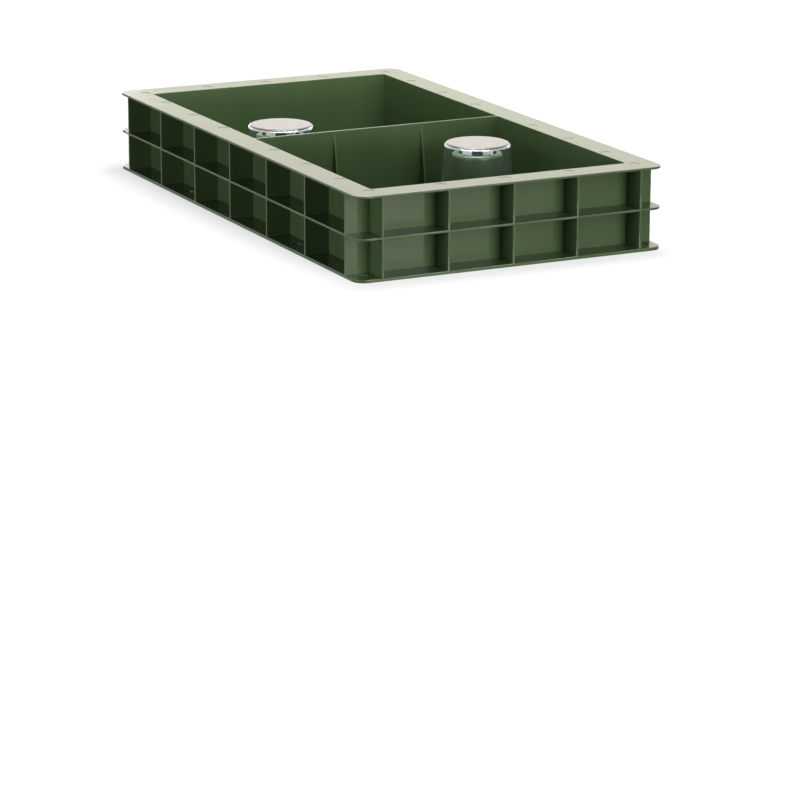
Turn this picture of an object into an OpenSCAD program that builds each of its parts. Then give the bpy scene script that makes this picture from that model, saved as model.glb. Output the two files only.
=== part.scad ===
// Hive top feeder: a ribbed plastic tray that stands on a hive body, with a clear cup over each chimney.
// Bees climb a chimney from below, pass over its crest under the cup and drink the syrup that stands
// between the chimney and the cup. A divider parts the tray into a front and a rear compartment.
// X runs across the feeder, Y along it with the front end at -Y, and Z up from the rest face.
// All sizes are in millimetres.

/* [Overall size] */
// Length of the rim and the flanges, along Y
body_l = 500; // [440:1:560]
// Width of the rim and the flanges, across X
body_w = 282; // [250:1:420]
// Height from the rest face to the top of the rim
body_h = 70.5; // [66:0.5:100]

/* [Rim and flanges] */
// Width of the rim along each long side, from the opening to the outer edge
side_rim_w = 24; // [16:0.5:32]
// Width of the rim along each short end, from the opening to the outer edge
end_rim_w = 25; // [16:0.5:32]
// Radius of the outer corners of the rim and the flanges
corner_r = 11; // [5:0.5:14]
// Thickness of the top rim
rim_t = 2; // [1.5:0.1:3.5]
// Thickness of the middle flange
middle_flange_t = 2; // [1.5:0.1:3.5]
// Height of the middle flange's underside above the rest face
middle_flange_z = 34.3; // [25:0.1:45]
// Thickness of the bottom flange
bottom_flange_t = 2.8; // [1.5:0.1:4]

/* [Walls and floor] */
// Thickness of the walls around the syrup
wall_t = 2.5; // [2:0.1:4]
// Bee space under the floor, above the rest face
bee_space = 8; // [6:0.5:10]
// Thickness of the floor
floor_t = 2; // [1.5:0.1:3]

/* [Ribs] */
// Thickness of the outside ribs
rib_t = 2; // [1.5:0.1:2.5]
// Number of bays between the ribs along each long side
side_bays = 6; // [3:1:10]
// Number of bays between the ribs along each short end
end_bays = 4; // [2:1:8]

/* [Divider] */
// Thickness of the divider
divider_t = 2; // [1.5:0.1:4]
// Thickness of the gussets that prop the divider
gusset_t = 1.8; // [1.2:0.1:3]
// How far a gusset reaches out over the floor
gusset_reach = 9.5; // [5:0.5:16]
// How far the tip of a gusset lies below the top of the divider
gusset_drop = 2.2; // [1:0.1:10]
// Place of the gussets beside the middle, as a share of the opening's width
gusset_side_share = 0.18; // [0.12:0.01:0.4]

/* [Chimneys] */
// Diameter of a chimney at its crest, before the edge is rounded
chimney_d = 44.5; // [40:0.5:50]
// Height of a chimney's crest above the floor
chimney_h = 46.5; // [38:0.5:50]
// Flare of a chimney towards the floor, in degrees
chimney_taper = 3.5; // [1:0.5:5]
// Wall thickness of a chimney
chimney_t = 2.2; // [1.6:0.1:2.8]
// Rounding of a chimney's crest
crest_r = 3; // [2.9:0.1:4]
// Diameter of the mouth in a chimney's crest
mouth_d = 33; // [29:0.5:35]
// Place of a chimney beside the middle, as a share of the opening's width
chimney_side_share = 0.254; // [0.2:0.002:0.3]
// Place of a chimney from the divider, as a share of the opening's length
chimney_end_share = 0.161; // [0.12:0.001:0.35]

/* [Cups] */
// Room between a chimney and its cup, level with the cup's underside
cup_way = 4.8; // [4:0.1:7]
// Flare of a cup towards its lower edge, in degrees
cup_taper = 6; // [4:0.5:8]
// Wall thickness of a cup
cup_t = 1.5; // [1:0.1:2.2]
// Thickness of a cup's top
cup_top_t = 2; // [1.5:0.1:3]
// Rounding of a cup's top edge
cup_edge_r = 2.8; // [2.4:0.1:4]
// Slot that lets syrup in between a cup's lower edge and the floor
syrup_gap = 3; // [2:0.5:6]

/* [Cup lugs] */
// Number of lugs under a cup's top
lug_count = 4; // [3:1:5]
// Thickness of a lug
lug_t = 2; // [1.5:0.1:2.6]
// Height of a lug, from its seat on the crest to the cup's underside
lug_h = 6.3; // [4.5:0.1:8]
// How far a lug's tip dips into the mouth
lug_dip = 2.8; // [1:0.1:4]
// Width of a lug's seat on the crest
lug_seat_w = 2; // [1.5:0.1:3]
// Radius of the free space between the tips of the lugs
lug_tip_r = 7.5; // [5:0.5:9]
// Turn of the first lug from the X direction, in degrees
lug_turn = 18; // [0:1:89]

/* [Hidden] */
$fn = 96;

// Clearance between a lug's seat and the crest, with the cup down
seat_gap = 0.3;
// Clearance between a lug's tip and the mouth
mouth_gap = 0.5;
// How far a cut runs past the face that it opens
overrun = 1;

green = [0.25, 0.35, 0.22];
clear = [0.80, 0.84, 0.85, 0.45];

// The syrup box inside the rim
opening_w = body_w - 2 * side_rim_w;
opening_l = body_l - 2 * end_rim_w;
box_w = opening_w + 2 * wall_t;
box_l = opening_l + 2 * wall_t;
wall_h = body_h - rim_t - bottom_flange_t;

// Each tier of ribs: its lowest level and its height
middle_flange_top = middle_flange_z + middle_flange_t;
tiers = [
    [bottom_flange_t, middle_flange_z - bottom_flange_t],
    [middle_flange_top, body_h - rim_t - middle_flange_top]
];

// The outermost ribs continue the walls, and the rest share the way between them
side_rib_depth = (body_w - box_w) / 2;
end_rib_depth = (body_l - box_l) / 2;
side_rib_span = opening_l + wall_t;
end_rib_span = opening_w + wall_t;

// Floor and divider
floor_top = bee_space + floor_t;
divider_h = body_h - floor_top;
gusset_x = gusset_side_share * opening_w;

// Chimneys: the front one stands on the right, the rear one on the left
chimney_x = chimney_side_share * opening_w;
chimney_y = chimney_end_share * opening_l;
chimney_r = chimney_d / 2;
mouth_r = mouth_d / 2;
crest_z = floor_top + chimney_h;
chimney_bore_h = chimney_h - chimney_t;
chimney_bore_r = chimney_r + chimney_t * tan(chimney_taper) - chimney_t / cos(chimney_taper);
chimney_foot_bore_r = chimney_bore_r + chimney_bore_h * tan(chimney_taper);

// Cups, worked out from the crest that carries them
lug_seat_z = crest_z + seat_gap;
lug_r = mouth_r + lug_seat_w;
cup_under_z = lug_seat_z + lug_h;
cup_z = floor_top + syrup_gap;
cup_inner_h = cup_under_z - cup_z;
cup_h = cup_inner_h + cup_top_t;
cup_inner_r = chimney_r + cup_way;
cup_r = cup_inner_r + cup_t / cos(cup_taper) - cup_top_t * tan(cup_taper);

// A rectangle with rounded corners, centred on the origin
module rounded_rectangle(w, l, r) {
    square([w - 2 * r, l], center = true);
    square([w, l - 2 * r], center = true);
    for (x = [-1, 1], y = [-1, 1])
        translate([x * (w / 2 - r), y * (l / 2 - r)]) circle(r);
}

// An upright block that stands on z = 0, centred on the origin
module block(w, l, h) {
    linear_extrude(h) square([w, l], center = true);
}

// A flat ring of the outer size around a rectangular hole
module flange(z, t, hole_w, hole_l) {
    translate([0, 0, z])
        linear_extrude(t)
            difference() {
                rounded_rectangle(body_w, body_l, corner_r);
                square([hole_w, hole_l], center = true);
            }
}

// Half the outline of a bell: a flaring wall, a rounded shoulder and a flat top
module bell_outline(top_r, h, taper, edge_r) {
    foot_r = top_r + h * tan(taper);
    edge_x = top_r + edge_r * tan(taper) - edge_r / cos(taper);
    edge_z = h - edge_r;
    polygon([
        [0, 0],
        [foot_r, 0],
        [edge_x + edge_r * cos(taper), edge_z + edge_r * sin(taper)],
        [edge_x, h],
        [0, h]
    ]);
    translate([edge_x, edge_z]) circle(edge_r);
}

// Moves a chimney or a cup to its place, end = -1 at the front and 1 at the rear
module at_chimney(end, z) {
    translate([-end * chimney_x, end * chimney_y, z]) children();
}

module half_floor(end) {
    color(green)
        difference() {
            translate([0, end * opening_l / 4, bee_space]) block(opening_w, opening_l / 2, floor_t);
            at_chimney(end, bee_space - overrun) cylinder(h = floor_t + 2 * overrun, r = chimney_foot_bore_r);
        }
}

module side_wall(side) {
    color(green)
        translate([side * (opening_w + wall_t) / 2, 0, bottom_flange_t]) block(wall_t, opening_l, wall_h);
}

module end_wall(end) {
    color(green)
        translate([0, end * (opening_l + wall_t) / 2, bottom_flange_t]) block(box_w, wall_t, wall_h);
}

module side_ribs(side) {
    color(green)
        for (tier = tiers, bay = [0 : side_bays])
            translate([side * (box_w + side_rib_depth) / 2, side_rib_span * (bay / side_bays - 1 / 2), tier[0]])
                block(side_rib_depth, rib_t, tier[1]);
}

module end_ribs(end) {
    color(green)
        for (tier = tiers, bay = [0 : end_bays])
            translate([end_rib_span * (bay / end_bays - 1 / 2), end * (box_l + end_rib_depth) / 2, tier[0]])
                block(rib_t, end_rib_depth, tier[1]);
}

module top_rim() {
    color(green) flange(body_h - rim_t, rim_t, opening_w, opening_l);
}

module middle_flange() {
    color(green) flange(middle_flange_z, middle_flange_t, box_w, box_l);
}

module bottom_flange() {
    color(green) flange(0, bottom_flange_t, opening_w, opening_l);
}

module divider_wall() {
    color(green) translate([0, 0, floor_top]) block(opening_w, divider_t, divider_h);
}

// Two thin triangles against each face of the divider
module divider_gussets() {
    color(green)
        for (face = [-1, 1], side = [-1, 1])
            translate([side * gusset_x, face * divider_t / 2, floor_top])
                rotate([90, 0, 90])
                    linear_extrude(gusset_t, center = true)
                        polygon([[0, 0], [face * gusset_reach, 0], [0, divider_h - gusset_drop]]);
}

module chimney(end) {
    color(green)
        at_chimney(end, floor_top)
            rotate_extrude()
                difference() {
                    bell_outline(chimney_r, chimney_h, chimney_taper, crest_r);
                    translate([0, -overrun])
                        bell_outline(chimney_bore_r, chimney_bore_h + overrun, chimney_taper, crest_r - chimney_t);
                    square([mouth_r, chimney_h + overrun]);
                }
}

module cup_shell(end) {
    color(clear)
        at_chimney(end, cup_z)
            rotate_extrude()
                difference() {
                    bell_outline(cup_r, cup_h, cup_taper, cup_edge_r);
                    translate([0, -overrun])
                        bell_outline(cup_inner_r, cup_inner_h + overrun, cup_taper, cup_edge_r - cup_t);
                }
}

// Radial fins that seat on the crest and dip into the mouth to keep the cup central
module cup_lugs(end) {
    color(clear)
        at_chimney(end, lug_seat_z)
            for (i = [0 : lug_count - 1])
                rotate([90, 0, lug_turn + i * 360 / lug_count])
                    linear_extrude(lug_t, center = true)
                        polygon([
                            [lug_tip_r, lug_h],
                            [lug_tip_r, -lug_dip],
                            [mouth_r - mouth_gap, 0],
                            [lug_r, 0],
                            [lug_r, lug_h]
                        ]);
}

module front_floor() { half_floor(-1); }
module rear_floor() { half_floor(1); }
module left_wall() { side_wall(-1); }
module right_wall() { side_wall(1); }
module front_wall() { end_wall(-1); }
module rear_wall() { end_wall(1); }
module left_ribs() { side_ribs(-1); }
module right_ribs() { side_ribs(1); }
module front_ribs() { end_ribs(-1); }
module rear_ribs() { end_ribs(1); }
module front_chimney() { chimney(-1); }
module rear_chimney() { chimney(1); }
module front_cup_shell() { cup_shell(-1); }
module rear_cup_shell() { cup_shell(1); }
module front_cup_lugs() { cup_lugs(-1); }
module rear_cup_lugs() { cup_lugs(1); }

front_floor();
rear_floor();
left_wall();
right_wall();
front_wall();
rear_wall();
top_rim();
middle_flange();
bottom_flange();
left_ribs();
right_ribs();
front_ribs();
rear_ribs();
divider_wall();
divider_gussets();
front_chimney();
rear_chimney();
front_cup_shell();
front_cup_lugs();
rear_cup_shell();
rear_cup_lugs();
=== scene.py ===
"""Hive top feeder: a green ribbed tray with a clear cup over each chimney.

The tray is one moulding and each cup is another, so the scene has three pieces. Their sizes come from the
CAD nodes that they stand for, and the values below add what only shows up close: fillets, rounded edges,
ejector marks and the finish of the plastics. Lengths are in metres, with the front end at -Y.
"""

import math

import bmesh
import bpy
from mathutils import Euler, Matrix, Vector


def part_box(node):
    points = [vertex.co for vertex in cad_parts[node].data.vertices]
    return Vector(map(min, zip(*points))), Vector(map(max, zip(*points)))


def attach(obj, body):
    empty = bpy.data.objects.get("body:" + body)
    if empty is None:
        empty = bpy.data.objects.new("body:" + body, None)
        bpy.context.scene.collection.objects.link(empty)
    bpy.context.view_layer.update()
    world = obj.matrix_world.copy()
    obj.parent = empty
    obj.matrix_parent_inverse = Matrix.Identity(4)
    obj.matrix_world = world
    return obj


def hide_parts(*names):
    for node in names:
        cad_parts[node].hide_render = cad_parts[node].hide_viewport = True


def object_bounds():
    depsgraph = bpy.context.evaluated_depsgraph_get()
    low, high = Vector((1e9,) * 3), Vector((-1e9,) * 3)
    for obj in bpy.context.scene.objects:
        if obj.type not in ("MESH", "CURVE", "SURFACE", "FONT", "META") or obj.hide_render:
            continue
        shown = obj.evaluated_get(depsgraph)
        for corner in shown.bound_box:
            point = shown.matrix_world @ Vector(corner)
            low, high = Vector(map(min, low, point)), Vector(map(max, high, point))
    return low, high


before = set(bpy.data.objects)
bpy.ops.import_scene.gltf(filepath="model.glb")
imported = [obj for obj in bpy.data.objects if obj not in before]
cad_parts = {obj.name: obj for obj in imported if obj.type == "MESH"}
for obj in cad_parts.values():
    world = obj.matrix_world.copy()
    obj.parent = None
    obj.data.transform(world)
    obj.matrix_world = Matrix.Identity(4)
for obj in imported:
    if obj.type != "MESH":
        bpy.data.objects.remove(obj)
cad_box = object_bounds()

MM = 0.001

# Camera, as the photograph was taken
CAMERA_PLACE = Vector((-1.31254, -2.66150, 0.66067))
CAMERA_LENS = 156.45
CAMERA_SENSOR = 36
CAMERA_DOWN = math.radians(15.74)
CAMERA_TURN = math.radians(-26.64)
CAMERA_ROLL = math.radians(0.24)

# Modelling: how far cutters stand out, joined pieces sink in and close points merge, and how round is drawn
OVERRUN = 2 * MM
SUNK = 0.4 * MM
WELD = 0.002 * MM
TURN_STEPS = 96
ARC_STEPS = 8
EDGE_STEPS = 3
SHARP = math.radians(50)
SMOOTH = math.radians(40)

# A face's normal points up by less than this on an upright wall, and by more than this on a flat top
UPRIGHT = 0.01
LEVEL = 0.8

# Tray
CORNER_R = 11 * MM
CORNER_STEPS = 10
SIDE_BAYS = 6
END_BAYS = 4
FLOOR_FILLET = 1.6 * MM
FILLET_STEPS = 4
EDGE_ROUND = 0.5 * MM
GUSSET_T = 1.8 * MM
GUSSET_NOSE_R = 0.3 * MM

# Chimneys
CHIMNEY_TAPER = math.radians(3.5)
CHIMNEY_T = 2.2 * MM
CREST_R = 3 * MM
MOUTH_R = 16.5 * MM
FOOT_FILLET = 2.5 * MM

# Round marks that the ejector pins leave in the rim and the bottom flange
MARK_R = 4.7 * MM
MARK_DEPTH = 0.16 * MM
FLANGE_MARK_DEPTH = 0.6 * MM
MARK_STEPS = 32
SIDE_MARK_X = 123.5 * MM
SIDE_MARKS_Y = [53 * MM, 117 * MM, 181 * MM]
END_MARKS_X = [-59 * MM, 0, 59 * MM]
END_MARK_Y = 234.3 * MM
CORNER_MARK = (122 * MM, 231 * MM)
FLANGE_MARKS = [(129 * MM, 236 * MM), (130 * MM, 113 * MM)]

# Cups
CUP_TAPER = math.radians(6)
CUP_T = 1.5 * MM
CUP_TOP_T = 2 * MM
CUP_EDGE_R = 2.8 * MM
CUP_EDGE_ROUND = 0.3 * MM
LUG_COUNT = 4
LUG_T = 2 * MM
LUG_TURN = math.radians(18)
LUG_TIP_R = 7.5 * MM
LUG_DIP = 2.8 * MM
LUG_MOUTH_GAP = 0.5 * MM

# Green plastic, with the share by which a painted highlight lightens the outermost edges, and the factor by
# which a painted highlight lightens the gusset noses
DARK_GREEN = Vector((0.039, 0.067, 0.0265))
LIGHT_GREEN = Vector((0.065, 0.1045, 0.0435))
CLOUD_SCALE = 14
STREAK_STRETCH = (90, 90, 4)
SKIN_SCALE = 1400
PAINTED_EDGE_HIGHLIGHT = 0.45
PAINTED_EDGE_WIDTH = 1 * MM
GUSSET_NOSE_HIGHLIGHT = 1.5
PLASTIC_IOR = 1.5

# Cup plastic: clear, clouded by wear on the top, and a grainy near-white on the lugs, painted to stand in
# for the light that the clear lugs carry down from the top
CLEAR = (0.89, 0.95, 0.98, 1)
CLEAR_IOR = 1.45
HAZE_SCALE = 60
WEAR_SCALE = 220
DARK_WEAR = (0.095, 0.098, 0.095, 1)
LIGHT_WEAR = (0.115, 0.118, 0.115, 1)
GRAIN_SCALE = 900
DARK_LUG_PAINTED_WHITE = (0.9, 0.9, 0.89, 1)
LIGHT_LUG_PAINTED_WHITE = (0.95, 0.95, 0.94, 1)

# Studio: the lamps, the floor, and what gloss shows of the backdrop
MIDDLE = (0, 0, 0.03)
TOP_LAMP = Vector((0.1, 0.1, 0.72))
TOP_POWER = 10.8
FLOOR_SIZE = 24
FLOOR_SHADE = 0.25
WHITE = (1, 1, 1, 1)
AMBIENT = (0.06, 0.06, 0.06, 1)
HORIZON = 0.03
FRONT_SKY = 0.3
BACK_GROUND = 0.55


# Modelling helpers


def deselect():
    bpy.ops.object.select_all(action="DESELECT")


def only(obj):
    """Leaves one object selected and active."""
    deselect()
    obj.select_set(True)
    bpy.context.view_layer.objects.active = obj


def start_edit(obj, kind="VERT", select="SELECT"):
    """Enters edit mode with everything selected, or as the action says."""
    only(obj)
    bpy.ops.object.mode_set(mode="EDIT")
    bpy.ops.mesh.select_mode(type=kind)
    bpy.ops.mesh.select_all(action=select)


def resume_edit(obj, kind):
    """Enters edit mode with what is already selected."""
    only(obj)
    bpy.ops.object.mode_set(mode="EDIT")
    bpy.ops.mesh.select_mode(type=kind)


def end_edit():
    bpy.ops.object.mode_set(mode="OBJECT")


def block(name, low, high):
    """A box between two corners."""
    deselect()
    low, high = Vector(low), Vector(high)
    bpy.ops.mesh.primitive_cube_add(size=1, location=(low + high) / 2, scale=high - low)
    bpy.ops.object.transform_apply(location=True, rotation=True, scale=True)
    obj = bpy.context.object
    obj.name = name
    return obj


def round_edges(obj, wanted, radius, steps):
    """Rounds the edges whose two ends pass the test."""
    start_edit(obj, "EDGE", "DESELECT")
    end_edit()
    points = obj.data.vertices
    for edge in obj.data.edges:
        first, second = (points[i].co for i in edge.vertices)
        edge.select = wanted(first, second)
    resume_edit(obj, "EDGE")
    bpy.ops.mesh.bevel(offset=radius, segments=steps, profile=0.5, affect="EDGES")
    end_edit()
    return obj


def dress(obj, slot, wanted):
    """Gives one of the object's material slots to the faces whose centre and normal pass the test."""
    start_edit(obj, "FACE", "DESELECT")
    end_edit()
    for face in obj.data.polygons:
        face.select = wanted(face.center, face.normal)
    resume_edit(obj, "FACE")
    obj.active_material_index = slot
    bpy.ops.object.material_slot_assign()
    end_edit()


def join(objs):
    deselect()
    for obj in objs:
        obj.select_set(True)
    bpy.context.view_layer.objects.active = objs[0]
    bpy.ops.object.join()
    return objs[0]


def combine(obj, tool, operation):
    """Cuts the tool out of the object, or joins them into one skin. The tool is used up."""
    only(obj)
    boolean = obj.modifiers.new("combine", "BOOLEAN")
    boolean.operation = operation
    boolean.solver = "EXACT"
    boolean.material_mode = "TRANSFER"
    boolean.object = tool
    bpy.ops.object.modifier_apply(modifier=boolean.name)
    bpy.data.objects.remove(tool)


def weld(obj):
    """Merges the points that a cut leaves almost on top of each other."""
    start_edit(obj)
    bpy.ops.mesh.remove_doubles(threshold=WELD)
    bpy.ops.mesh.dissolve_degenerate(threshold=WELD)
    end_edit()


def draw(name, points):
    """An open line through points, drawn by extruding one vertex from point to point."""
    deselect()
    bpy.ops.mesh.primitive_plane_add(size=1)
    obj = bpy.context.object
    obj.name = name
    start_edit(obj)
    bpy.ops.mesh.merge(type="CENTER")
    bpy.ops.transform.translate(value=points[0])
    for here, there in zip(points, points[1:]):
        bpy.ops.mesh.extrude_region_move(TRANSFORM_OT_translate={"value": there - here})
    end_edit()
    return obj


def turned(name, outline, centre):
    """A solid of revolution about an upright axis, from an outline of (radius, height) points."""
    obj = draw(name, [Vector((centre.x + r, centre.y, z)) for r, z in outline])
    start_edit(obj)
    bpy.ops.mesh.spin(steps=TURN_STEPS, angle=2 * math.pi, center=centre, axis=(0, 0, 1))
    bpy.ops.mesh.select_all(action="SELECT")
    bpy.ops.mesh.remove_doubles(threshold=WELD)
    bpy.ops.mesh.normals_make_consistent(inside=False)
    end_edit()
    return obj


def plate(name, outline, thickness):
    """A flat plate: a closed outline of points, filled and extruded along its thickness."""
    obj = draw(name, outline)
    start_edit(obj)
    bpy.ops.mesh.edge_face_add()
    bpy.ops.mesh.extrude_region_move(TRANSFORM_OT_translate={"value": thickness})
    bpy.ops.mesh.select_all(action="SELECT")
    bpy.ops.mesh.normals_make_consistent(inside=False)
    end_edit()
    return obj


def soften(obj, width):
    """Rounds the sharp outward edges by a small amount."""
    start_edit(obj, "EDGE", "DESELECT")
    mesh = bmesh.from_edit_mesh(obj.data)
    for edge in mesh.edges:
        if edge.is_convex and edge.calc_face_angle(0) > SHARP:
            edge.select_set(True)
    mesh.select_flush_mode()
    bmesh.update_edit_mesh(obj.data)
    bpy.ops.mesh.bevel(offset=width, segments=EDGE_STEPS, affect="EDGES", clamp_overlap=False)
    end_edit()


def smooth(obj):
    """Smooth shading that keeps the flat faces flat."""
    only(obj)
    bpy.ops.object.shade_smooth_by_angle(angle=SMOOTH)
    weighted = obj.modifiers.new("flat faces", "WEIGHTED_NORMAL")
    weighted.weight = 100
    weighted.keep_sharp = True
    bpy.ops.object.modifier_apply(modifier=weighted.name)


def upright_axis(low, high):
    """The foot of the upright line through the middle of a box."""
    return Vector(((low.x + high.x) / 2, (low.y + high.y) / 2, 0))


def arc(centre_r, centre_z, radius, start, end):
    """Points of an arc in an outline, with its angles measured from the outward direction."""
    turns = [start + (end - start) * i / ARC_STEPS for i in range(ARC_STEPS + 1)]
    return [(centre_r + radius * math.cos(a), centre_z + radius * math.sin(a)) for a in turns]


def bell(top_r, foot_z, top_z, taper, edge_r):
    """Outline of a bell from its foot to its flat top: a flaring wall and a rounded shoulder."""
    foot_r = top_r + (top_z - foot_z) * math.tan(taper)
    edge_x = top_r + edge_r * math.tan(taper) - edge_r / math.cos(taper)
    return [(foot_r, foot_z), *arc(edge_x, top_z - edge_r, edge_r, taper, math.pi / 2)]


# Shader maths


class Value:
    """A shader socket. Python sums on it add Math nodes."""

    def __init__(self, finish, socket):
        self.finish = finish
        self.socket = socket

    def _maths(self, operation, first, second):
        return self.finish.node("ShaderNodeMath", {"operation": operation}, {0: first, 1: second})

    def __add__(self, other):
        return self._maths("ADD", self, other)

    def __radd__(self, other):
        return self._maths("ADD", other, self)

    def __sub__(self, other):
        return self._maths("SUBTRACT", self, other)

    def __rsub__(self, other):
        return self._maths("SUBTRACT", other, self)

    def __mul__(self, other):
        return self._maths("MULTIPLY", self, other)

    def __rmul__(self, other):
        return self._maths("MULTIPLY", other, self)

    def __rtruediv__(self, other):
        return self._maths("DIVIDE", other, self)

    def __gt__(self, other):
        return self._maths("GREATER_THAN", self, other)


class Finish:
    """A node tree of a material or of the world."""

    def __init__(self, owner):
        owner.use_nodes = True
        self.tree = owner.node_tree
        self.tree.nodes.clear()

    def node(self, kind, settings=None, inputs=None, output=0):
        """Adds a node with its settings and the values or links of its sockets, and gives one output."""
        made = self.tree.nodes.new(kind)
        for name, value in (settings or {}).items():
            setattr(made, name, value)
        for key, value in (inputs or {}).items():
            if isinstance(value, Value):
                self.tree.links.new(value.socket, made.inputs[key])
            else:
                made.inputs[key].default_value = value
        return Value(self, made.outputs[output]) if made.outputs else None

    def place(self, stretch=(1, 1, 1)):
        """Object coordinates, stretched."""
        spot = self.node("ShaderNodeTexCoord", output="Object")
        return self.node("ShaderNodeMapping", inputs={"Vector": spot, "Scale": stretch})

    def part(self, vector, axis):
        return self.node("ShaderNodeSeparateXYZ", inputs={"Vector": vector}, output=axis)

    def noise(self, spot, scale, detail):
        return self.node("ShaderNodeTexNoise", inputs={"Vector": spot, "Scale": scale, "Detail": detail})

    def mix(self, share, first, second):
        """A colour between two colours. The node's sockets share their names, so they go by number."""
        return self.node("ShaderNodeMix", {"data_type": "RGBA"}, {0: share, 6: first, 7: second}, output=2)

    def bump(self, height, strength, distance):
        inputs = {"Height": height, "Strength": strength, "Distance": distance}
        return self.node("ShaderNodeBump", inputs=inputs)

    def plastic(self, inputs):
        return self.node("ShaderNodeBsdfPrincipled", inputs=inputs)

    def outward(self, spot, axis, reach):
        """One at the object's outside along an axis, falling to zero over the width of the painted edge
        highlight.
        """
        away = self.part(spot, axis)
        start = (reach - PAINTED_EDGE_WIDTH) ** 2
        rise = {0: away * away - start, 1: 1 / (reach ** 2 - start)}
        return self.node("ShaderNodeMath", {"operation": "MULTIPLY", "use_clamp": True}, rise)

    def ray(self, kind):
        return self.node("ShaderNodeLightPath", output=f"Is {kind} Ray")

    def seen(self):
        """One where the camera looks, straight, in a gloss or through a clear plastic."""
        direct_or_gloss = self.ray("Camera") + self.ray("Glossy")
        rays = {0: direct_or_gloss, 1: self.ray("Transmission")}
        return self.node("ShaderNodeMath", {"use_clamp": True}, rays)

    def surface(self, shader):
        self.node("ShaderNodeOutputMaterial", inputs={"Surface": shader})


def material(name):
    made = bpy.data.materials.new(name)
    return made, Finish(made)


# Materials


def green_plastic(name, paleness):
    """Moulded green plastic, fairly glossy: cloudy, with flow streaks, a fine skin, and a painted highlight
    that lightens the outermost edges.
    """
    made, finish = material(name)
    spot = finish.place()
    clouds = finish.noise(spot, CLOUD_SCALE, 3)
    streaks = finish.noise(finish.place(STREAK_STRETCH), 1, 2)
    specks = finish.noise(spot, SKIN_SCALE, 1)
    # Painted highlight: the colour is lighter over the outermost millimetre of the tray's sides and ends
    edges = finish.outward(spot, "X", cad_box[1][0]) + finish.outward(spot, "Y", cad_box[1][1])
    shade = clouds * 0.6 + streaks * 0.4 + edges * PAINTED_EDGE_HIGHLIGHT
    # A paleness above one lightens the whole colour: a painted highlight
    colour = finish.mix(shade, (*DARK_GREEN * paleness, 1), (*LIGHT_GREEN * paleness, 1))
    roughness = 0.145 + clouds * 0.08 + specks * 0.06
    skin = finish.bump(clouds * 0.5 + specks * 0.04 + streaks * 0.05, 0.25, 0.4 * MM)
    finish.surface(
        finish.plastic({"Base Color": colour, "Roughness": roughness, "IOR": PLASTIC_IOR, "Normal": skin})
    )
    return made


def clear_plastic():
    """Clear cup plastic with a faint cool tint and a little haze."""
    made, finish = material("clear_plastic")
    haze = finish.noise(finish.place(), HAZE_SCALE, 3)
    finish.surface(
        finish.plastic(
            {
                "Base Color": CLEAR,
                "Roughness": 0.004 + haze * 0.012,
                "IOR": CLEAR_IOR,
                "Transmission Weight": 0.984,
                "Normal": finish.bump(haze, 0.05, 0.1 * MM),
            }
        )
    )
    return made


def clouded_plastic():
    """The same plastic on the cup's top: finely worn, so that it is pale at a low angle."""
    made, finish = material("clouded_plastic")
    wear = finish.noise(finish.place(), WEAR_SCALE, 4)
    colour = finish.mix(wear, DARK_WEAR, LIGHT_WEAR)
    worn = finish.plastic({"Base Color": colour, "Roughness": 0.08 + wear * 0.03, "IOR": PLASTIC_IOR})
    clean = finish.plastic(
        {"Base Color": CLEAR, "Roughness": 0.01, "IOR": CLEAR_IOR, "Transmission Weight": 0.99}
    )
    low_angle = finish.node("ShaderNodeLayerWeight", inputs={"Blend": 0.7}, output="Facing")
    finish.surface(finish.node("ShaderNodeMixShader", inputs={0: low_angle, 1: clean, 2: worn}))
    return made


def lug_painted_white_plastic():
    """The lugs' plastic, painted a grainy near-white that stands in for the light the clear lugs carry down
    from the cup's top.
    """
    made, finish = material("lug_painted_white_plastic")
    grain = finish.noise(finish.place(), GRAIN_SCALE, 2)
    finish.surface(
        finish.plastic(
            {
                "Base Color": finish.mix(grain, DARK_LUG_PAINTED_WHITE, LIGHT_LUG_PAINTED_WHITE),
                "Roughness": 0.25 + grain * 0.1,
                "IOR": PLASTIC_IOR,
                "Transmission Weight": 0.1,
            }
        )
    )
    return made


# Tray


def bay_spans(count, last_rib, half_rib):
    """Where each bay along a wall starts and ends, between ribs from one end of it to the other."""
    ribs = [last_rib * (2 * i / count - 1) for i in range(count + 1)]
    return [(here + half_rib, there - half_rib) for here, there in zip(ribs, ribs[1:])]


def bay_cutters():
    """The boxes that the two tiers of bays take out of the outside of the tray."""
    rim, middle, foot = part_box("top_rim"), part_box("middle_flange"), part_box("bottom_flange")
    half_w, half_l = rim[1].x + OVERRUN, rim[1].y + OVERRUN
    wall_x, wall_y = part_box("right_wall")[1].x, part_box("rear_wall")[1].y
    last_x, last_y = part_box("rear_ribs")[1].x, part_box("right_ribs")[1].y
    mid_wall_y = (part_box("rear_wall")[0].y + wall_y) / 2
    mid_wall_x = (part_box("right_wall")[0].x + wall_x) / 2
    half_rib = last_y - mid_wall_y
    spans = []
    for start, end in bay_spans(SIDE_BAYS, mid_wall_y, half_rib):
        spans += [(wall_x, half_w, start, end), (-half_w, -wall_x, start, end)]
    for start, end in bay_spans(END_BAYS, mid_wall_x, half_rib):
        spans += [(start, end, wall_y, half_l), (start, end, -half_l, -wall_y)]
    for x in ((last_x, half_w), (-half_w, -last_x)):
        for y in ((last_y, half_l), (-half_l, -last_y)):
            spans.append((*x, *y))
    cutters = []
    for low_z, high_z in ((foot[1].z, middle[0].z), (middle[1].z, rim[0].z)):
        for low_x, high_x, low_y, high_y in spans:
            cutters.append(block("bay", (low_x, low_y, low_z), (high_x, high_y, high_z)))
    return join(cutters)


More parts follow.
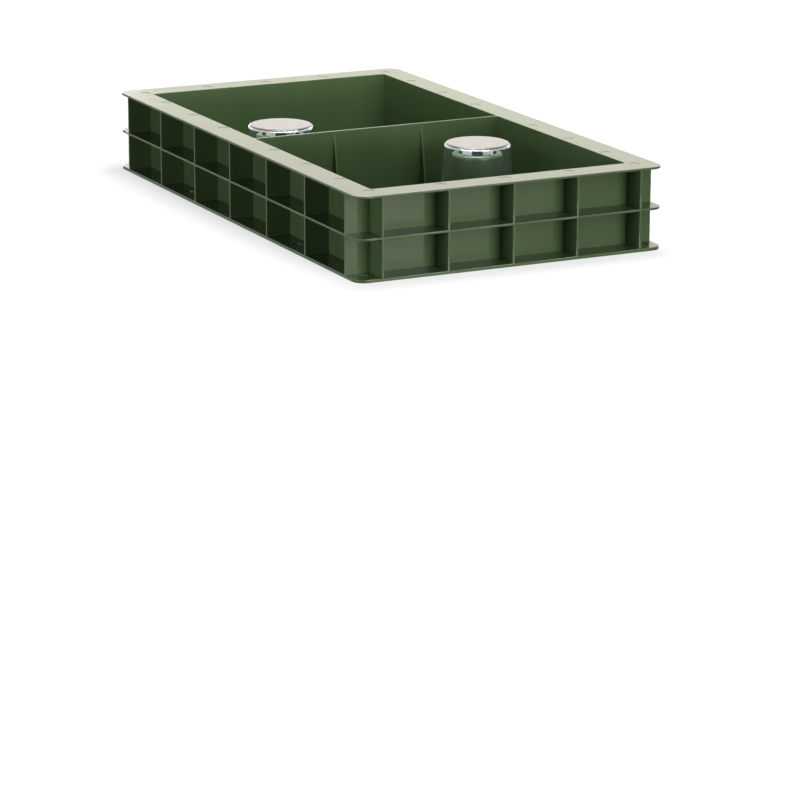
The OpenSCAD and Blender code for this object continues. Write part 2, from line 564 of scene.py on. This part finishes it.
def compartment_cutters():
    """The two compartments, with a fillet round the floor and up the corners."""
    rim_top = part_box("top_rim")[1].z
    top = rim_top + OVERRUN
    front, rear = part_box("front_floor"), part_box("rear_floor")
    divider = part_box("divider_wall")
    cutters = []
    for (low, high), low_y, high_y in ((front, front[0].y, divider[0].y), (rear, divider[1].y, rear[1].y)):
        cutter = block("compartment", (low.x, low_y, high.z), (high.x, high_y, top))
        round_edges(cutter, lambda a, b: min(a.z, b.z) < rim_top, FLOOR_FILLET, FILLET_STEPS)
        cutters.append(cutter)
    return join(cutters)


def underside_cutter():
    """The bee space under the floor."""
    front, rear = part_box("front_floor"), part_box("rear_floor")
    low = (front[0].x, front[0].y, -OVERRUN)
    high = (rear[1].x, rear[1].y, front[0].z)
    cutter = block("bee_space", low, high)
    return round_edges(cutter, lambda a, b: max(a.z, b.z) > 0, FLOOR_FILLET, FILLET_STEPS)


def slopes(first, second):
    """True for an edge that runs back as well as up."""
    return abs(first.y - second.y) > 2 * SUNK and abs(first.z - second.z) > 2 * SUNK


def leans(place, normal):
    """True for a face that is neither upright nor flat."""
    return UPRIGHT < normal.z < LEVEL


def gussets(green, pale):
    """The thin triangles that prop the divider, sunk a little into it and the floor, with a painted
    highlight on their sloping noses.
    """
    low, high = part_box("divider_gussets")
    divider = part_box("divider_wall")
    made = []
    for face_y, tip_y in ((divider[0].y, low.y), (divider[1].y, high.y)):
        inward = SUNK if face_y < 0 else -SUNK
        for x in (low.x, high.x - GUSSET_T):
            outline = [
                Vector((x, face_y + inward, low.z - SUNK)),
                Vector((x, tip_y, low.z - SUNK)),
                Vector((x, tip_y, low.z)),
                Vector((x, face_y, high.z)),
                Vector((x, face_y + inward, high.z)),
            ]
            gusset = plate("gusset", outline, Vector((GUSSET_T, 0, 0)))
            round_edges(gusset, slopes, GUSSET_NOSE_R, EDGE_STEPS)
            gusset.data.materials.append(green)
            gusset.data.materials.append(pale)
            # Painted highlight: the sloping noses take a paler copy of the green
            dress(gusset, 1, leans)
            made.append(gusset)
    return join(made)


def chimney_outside(node):
    """The bell of a chimney, with a fillet where it meets the floor."""
    low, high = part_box(node)
    foot_r = (high.x - low.x) / 2
    top_r = foot_r - (high.z - low.z) * math.tan(CHIMNEY_TAPER)
    wall = bell(top_r, low.z, high.z, CHIMNEY_TAPER, CREST_R)
    fillet_x = foot_r + FOOT_FILLET
    fillet = arc(fillet_x, low.z + FOOT_FILLET, FOOT_FILLET, 1.5 * math.pi, math.pi + CHIMNEY_TAPER)
    start = [(0, low.z - SUNK), (fillet_x, low.z - SUNK)]
    return turned("chimney", [*start, *fillet, *wall[1:], (0, high.z)], upright_axis(low, high))


def chimney_bore(node):
    """The way that the bees climb: a bell inside the chimney and its mouth."""
    low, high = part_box(node)
    top_r = (high.x - low.x) / 2 - (high.z - low.z) * math.tan(CHIMNEY_TAPER)
    bore_r = top_r + CHIMNEY_T * math.tan(CHIMNEY_TAPER) - CHIMNEY_T / math.cos(CHIMNEY_TAPER)
    bore = bell(bore_r, 0, high.z - CHIMNEY_T, CHIMNEY_TAPER, CREST_R - CHIMNEY_T)
    mouth = [(MOUTH_R, high.z - CHIMNEY_T), (MOUTH_R, high.z + OVERRUN), (0, high.z + OVERRUN)]
    return turned("bore", [(0, 0), *bore, *mouth], upright_axis(low, high))


def mark_cutter(x, y, top, depth):
    """A shallow round sink in a face at that height."""
    deselect()
    height = depth + OVERRUN
    bpy.ops.mesh.primitive_cylinder_add(
        vertices=MARK_STEPS, radius=MARK_R, depth=height, location=(x, y, top - depth + height / 2)
    )
    bpy.ops.object.transform_apply(location=True, rotation=True, scale=True)
    return bpy.context.object


def ejector_marks():
    """The marks on the rim and, in a few bays, on the bottom flange."""
    rim_top, flange_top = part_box("top_rim")[1].z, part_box("bottom_flange")[1].z
    on_rim = [CORNER_MARK, *[(SIDE_MARK_X, y) for y in SIDE_MARKS_Y]]
    marks = []
    for end in (-1, 1):
        marks += [mark_cutter(x, END_MARK_Y * end, rim_top, MARK_DEPTH) for x in END_MARKS_X]
        for side in (-1, 1):
            for x, y in on_rim:
                marks.append(mark_cutter(x * side, y * end, rim_top, MARK_DEPTH))
            for x, y in FLANGE_MARKS:
                marks.append(mark_cutter(x * side, y * end, flange_top, FLANGE_MARK_DEPTH))
    return join(marks)


def feeder_tray():
    """The tray: a block with its bays, compartments and bee space cut out, and the rest joined on."""
    rim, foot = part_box("top_rim"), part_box("bottom_flange")
    green = green_plastic("green_plastic", 1)
    # A paler copy of the green: a painted highlight for the gusset noses
    pale = green_plastic("gusset_nose_highlight_plastic", GUSSET_NOSE_HIGHLIGHT)
    tray = block("feeder_tray", foot[0], rim[1])
    tray.data.materials.append(green)
    round_edges(tray, lambda a, b: abs(a.z - b.z) > CORNER_R, CORNER_R, CORNER_STEPS)
    combine(tray, bay_cutters(), "DIFFERENCE")
    combine(tray, compartment_cutters(), "DIFFERENCE")
    combine(tray, underside_cutter(), "DIFFERENCE")
    combine(tray, gussets(green, pale), "UNION")
    for node in ("front_chimney", "rear_chimney"):
        combine(tray, chimney_outside(node), "UNION")
        combine(tray, chimney_bore(node), "DIFFERENCE")
    weld(tray)
    soften(tray, EDGE_ROUND)
    combine(tray, ejector_marks(), "DIFFERENCE")
    weld(tray)
    smooth(tray)
    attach(tray, "tray")
    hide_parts(*[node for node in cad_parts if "cup" not in node])


# Cups


def cup_lug(angle, centre, low, high):
    """One fin under the cup's top, with its tip dipping into the chimney's mouth."""
    seat_z = low.z + LUG_DIP
    outer_r = (high.x - low.x) / 2
    along = Vector((math.cos(angle), math.sin(angle), 0))
    across = Vector((-math.sin(angle), math.cos(angle), 0)) * LUG_T
    shape = [
        (LUG_TIP_R, high.z + SUNK),
        (LUG_TIP_R, low.z),
        (MOUTH_R - LUG_MOUTH_GAP, seat_z),
        (outer_r, seat_z),
        (outer_r, high.z + SUNK),
    ]
    outline = [centre + along * r - across / 2 + Vector((0, 0, z)) for r, z in shape]
    return plate("lug", outline, across)


def feeder_cup(name, end, clear, lug_painted_white, clouded):
    """A clear cup upside down over its chimney, with its lugs in one piece with its top."""
    low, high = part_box(f"{end}_cup_shell")
    lug_low, lug_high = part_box(f"{end}_cup_lugs")
    centre = upright_axis(low, high)
    foot_r = (high.x - low.x) / 2
    top_r = foot_r - (high.z - low.z) * math.tan(CUP_TAPER)
    inner_r = top_r + CUP_TOP_T * math.tan(CUP_TAPER) - CUP_T / math.cos(CUP_TAPER)
    outside = bell(top_r, low.z, high.z, CUP_TAPER, CUP_EDGE_R)
    inside = bell(inner_r, low.z, high.z - CUP_TOP_T, CUP_TAPER, CUP_EDGE_R - CUP_T)
    outline = [(0, high.z), *reversed(outside), *inside, (0, high.z - CUP_TOP_T)]
    cup = turned(name, outline, centre)
    cup.data.materials.append(clear)
    turns = [LUG_TURN + 2 * math.pi * i / LUG_COUNT for i in range(LUG_COUNT)]
    lugs = join([cup_lug(turn, centre, lug_low, lug_high) for turn in turns])
    # Painted light: the lugs are made near-white in place of the light that they carry
    lugs.data.materials.append(lug_painted_white)
    combine(cup, lugs, "UNION")
    soften(cup, CUP_EDGE_ROUND)
    cup.data.materials.append(clouded)
    shoulder_z = high.z - CUP_EDGE_R
    dress(cup, 2, lambda place, normal: place.z > shoulder_z and normal.z > LEVEL)
    smooth(cup)
    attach(cup, f"{end}_cup")
    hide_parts(f"{end}_cup_shell", f"{end}_cup_lugs")
    # A clear cup lets the light through to its chimney
    cup.visible_shadow = False
    cup.visible_diffuse = False


# Studio


def photo_camera():
    bpy.ops.object.camera_add(location=CAMERA_PLACE)
    camera = bpy.context.object
    aim = Euler((math.pi / 2 - CAMERA_DOWN, 0, CAMERA_TURN)).to_quaternion()
    camera.rotation_mode = "QUATERNION"
    camera.rotation_quaternion = aim @ Euler((0, 0, CAMERA_ROLL)).to_quaternion()
    camera.data.lens = CAMERA_LENS
    camera.data.sensor_width = CAMERA_SENSOR
    bpy.context.scene.camera = camera


def softbox(name, place, target, width, height, power, colour=(1, 1, 1)):
    """A lamp of that width and height in metres, aimed at the target."""
    bpy.ops.object.light_add(type="AREA", location=place)
    lamp = bpy.context.object
    lamp.name = name
    lamp.data.shape = "RECTANGLE"
    lamp.data.size = width
    lamp.data.size_y = height
    lamp.data.energy = power
    lamp.data.color = colour
    lamp.rotation_euler = (Vector(target) - Vector(place)).to_track_quat("-Z", "Y").to_euler()
    lamp.visible_camera = False


def studio_floor():
    """A floor that is white where no shadow falls, and open from below.

    It glows by what the lamp overhead leaves short of white, so that only the object's shadow shows.
    """
    deselect()
    bpy.ops.mesh.primitive_plane_add(size=FLOOR_SIZE)
    floor = bpy.context.object
    floor.name = "floor"
    made, finish = material("pale_floor")
    ends = {0: finish.place(), 1: TOP_LAMP}
    away = finish.node("ShaderNodeVectorMath", {"operation": "DISTANCE"}, ends, output="Value")
    square = away * away
    lamp_light = TOP_POWER * TOP_LAMP.z ** 2 / (4 * math.pi) / (square * square)
    glow_strength = finish.seen() * (1 - lamp_light * FLOOR_SHADE)
    below = finish.node("ShaderNodeNewGeometry", output="Backfacing")
    lit = finish.node("ShaderNodeBsdfDiffuse", inputs={"Color": (FLOOR_SHADE, FLOOR_SHADE, FLOOR_SHADE, 1)})
    glow = finish.node("ShaderNodeEmission", inputs={"Strength": glow_strength})
    pale = finish.node("ShaderNodeAddShader", inputs={0: lit, 1: glow})
    through = finish.node("ShaderNodeBsdfTransparent")
    finish.surface(finish.node("ShaderNodeMixShader", inputs={0: below, 1: pale, 2: through}))
    floor.data.materials.append(made)
    floor.visible_glossy = False
    floor.visible_diffuse = False
    floor.visible_shadow = False


def studio_world():
    """A white backdrop. Gloss and the cups show it behind the object, and greyer in front and below."""
    world = bpy.data.worlds.new("studio")
    bpy.context.scene.world = world
    finish = Finish(world)
    way = finish.node("ShaderNodeTexCoord", output="Generated")
    behind = finish.part(way, "Y") > 0
    above = finish.part(way, "Z") > HORIZON
    sky_share = above * (FRONT_SKY + behind * (1 - FRONT_SKY))
    mirrored = finish.seen() * (sky_share + (1 - above) * behind * BACK_GROUND)
    sky = finish.mix(finish.ray("Camera") + mirrored, AMBIENT, WHITE)
    glow = finish.node("ShaderNodeBackground", inputs={"Color": sky, "Strength": 1})
    finish.node("ShaderNodeOutputWorld", inputs={"Surface": glow})


def studio_lamps():
    softbox("front_low_softbox", (0.35, -2.8, 0.15), MIDDLE, 1.1, 0.3, 31.5)
    softbox("front_softbox", (0.35, -2.8, 0.45), MIDDLE, 1.1, 0.3, 15.7)
    softbox("front_high_softbox", (0.35, -2.5, 1.2), MIDDLE, 1.1, 0.9, 16)
    softbox("front_top_softbox", (0.25, -1.7, 1.45), MIDDLE, 0.9, 0.5, 4.5)
    softbox("front_card", (1.04, -2.6, -0.03), (1.04, 0, -0.03), 0.2, 2.07, 4.3, (1, 0.96, 0.85))
    softbox("left_softbox", (-2.2, -0.2, 0.15), MIDDLE, 0.8, 0.4, 11.5)
    softbox("near_left_softbox", (-1.1, -0.45, 0.14), (0, -0.2, 0.03), 0.5, 0.3, 3.9)
    softbox("right_softbox", (2, 0.9, 0.35), MIDDLE, 0.8, 0.6, 15)
    softbox("back_low_softbox", (0.3, 2.7, 0.15), MIDDLE, 1.1, 0.3, 14)
    softbox("under_softbox", (0, 0, -1.5), (0, 0, 0), 1, 1, 14)
    softbox("top_softbox", TOP_LAMP, TOP_LAMP * Vector((1, 1, 0)), 0.5, 0.5, TOP_POWER)
    softbox("back_softbox", (1.5, 3, 0.8), (0, 0, 0.05), 4.5, 1.5, 14.6, (1, 0.8, 0.64))


photo_camera()
studio_world()
studio_floor()
studio_lamps()

feeder_tray()
clear = clear_plastic()
lug_painted_white = lug_painted_white_plastic()
clouded = clouded_plastic()
for end in ("front", "rear"):
    feeder_cup(f"{end}_cup_moulding", end, clear, lug_painted_white, clouded)

bpy.context.scene.view_settings.view_transform = "Standard"
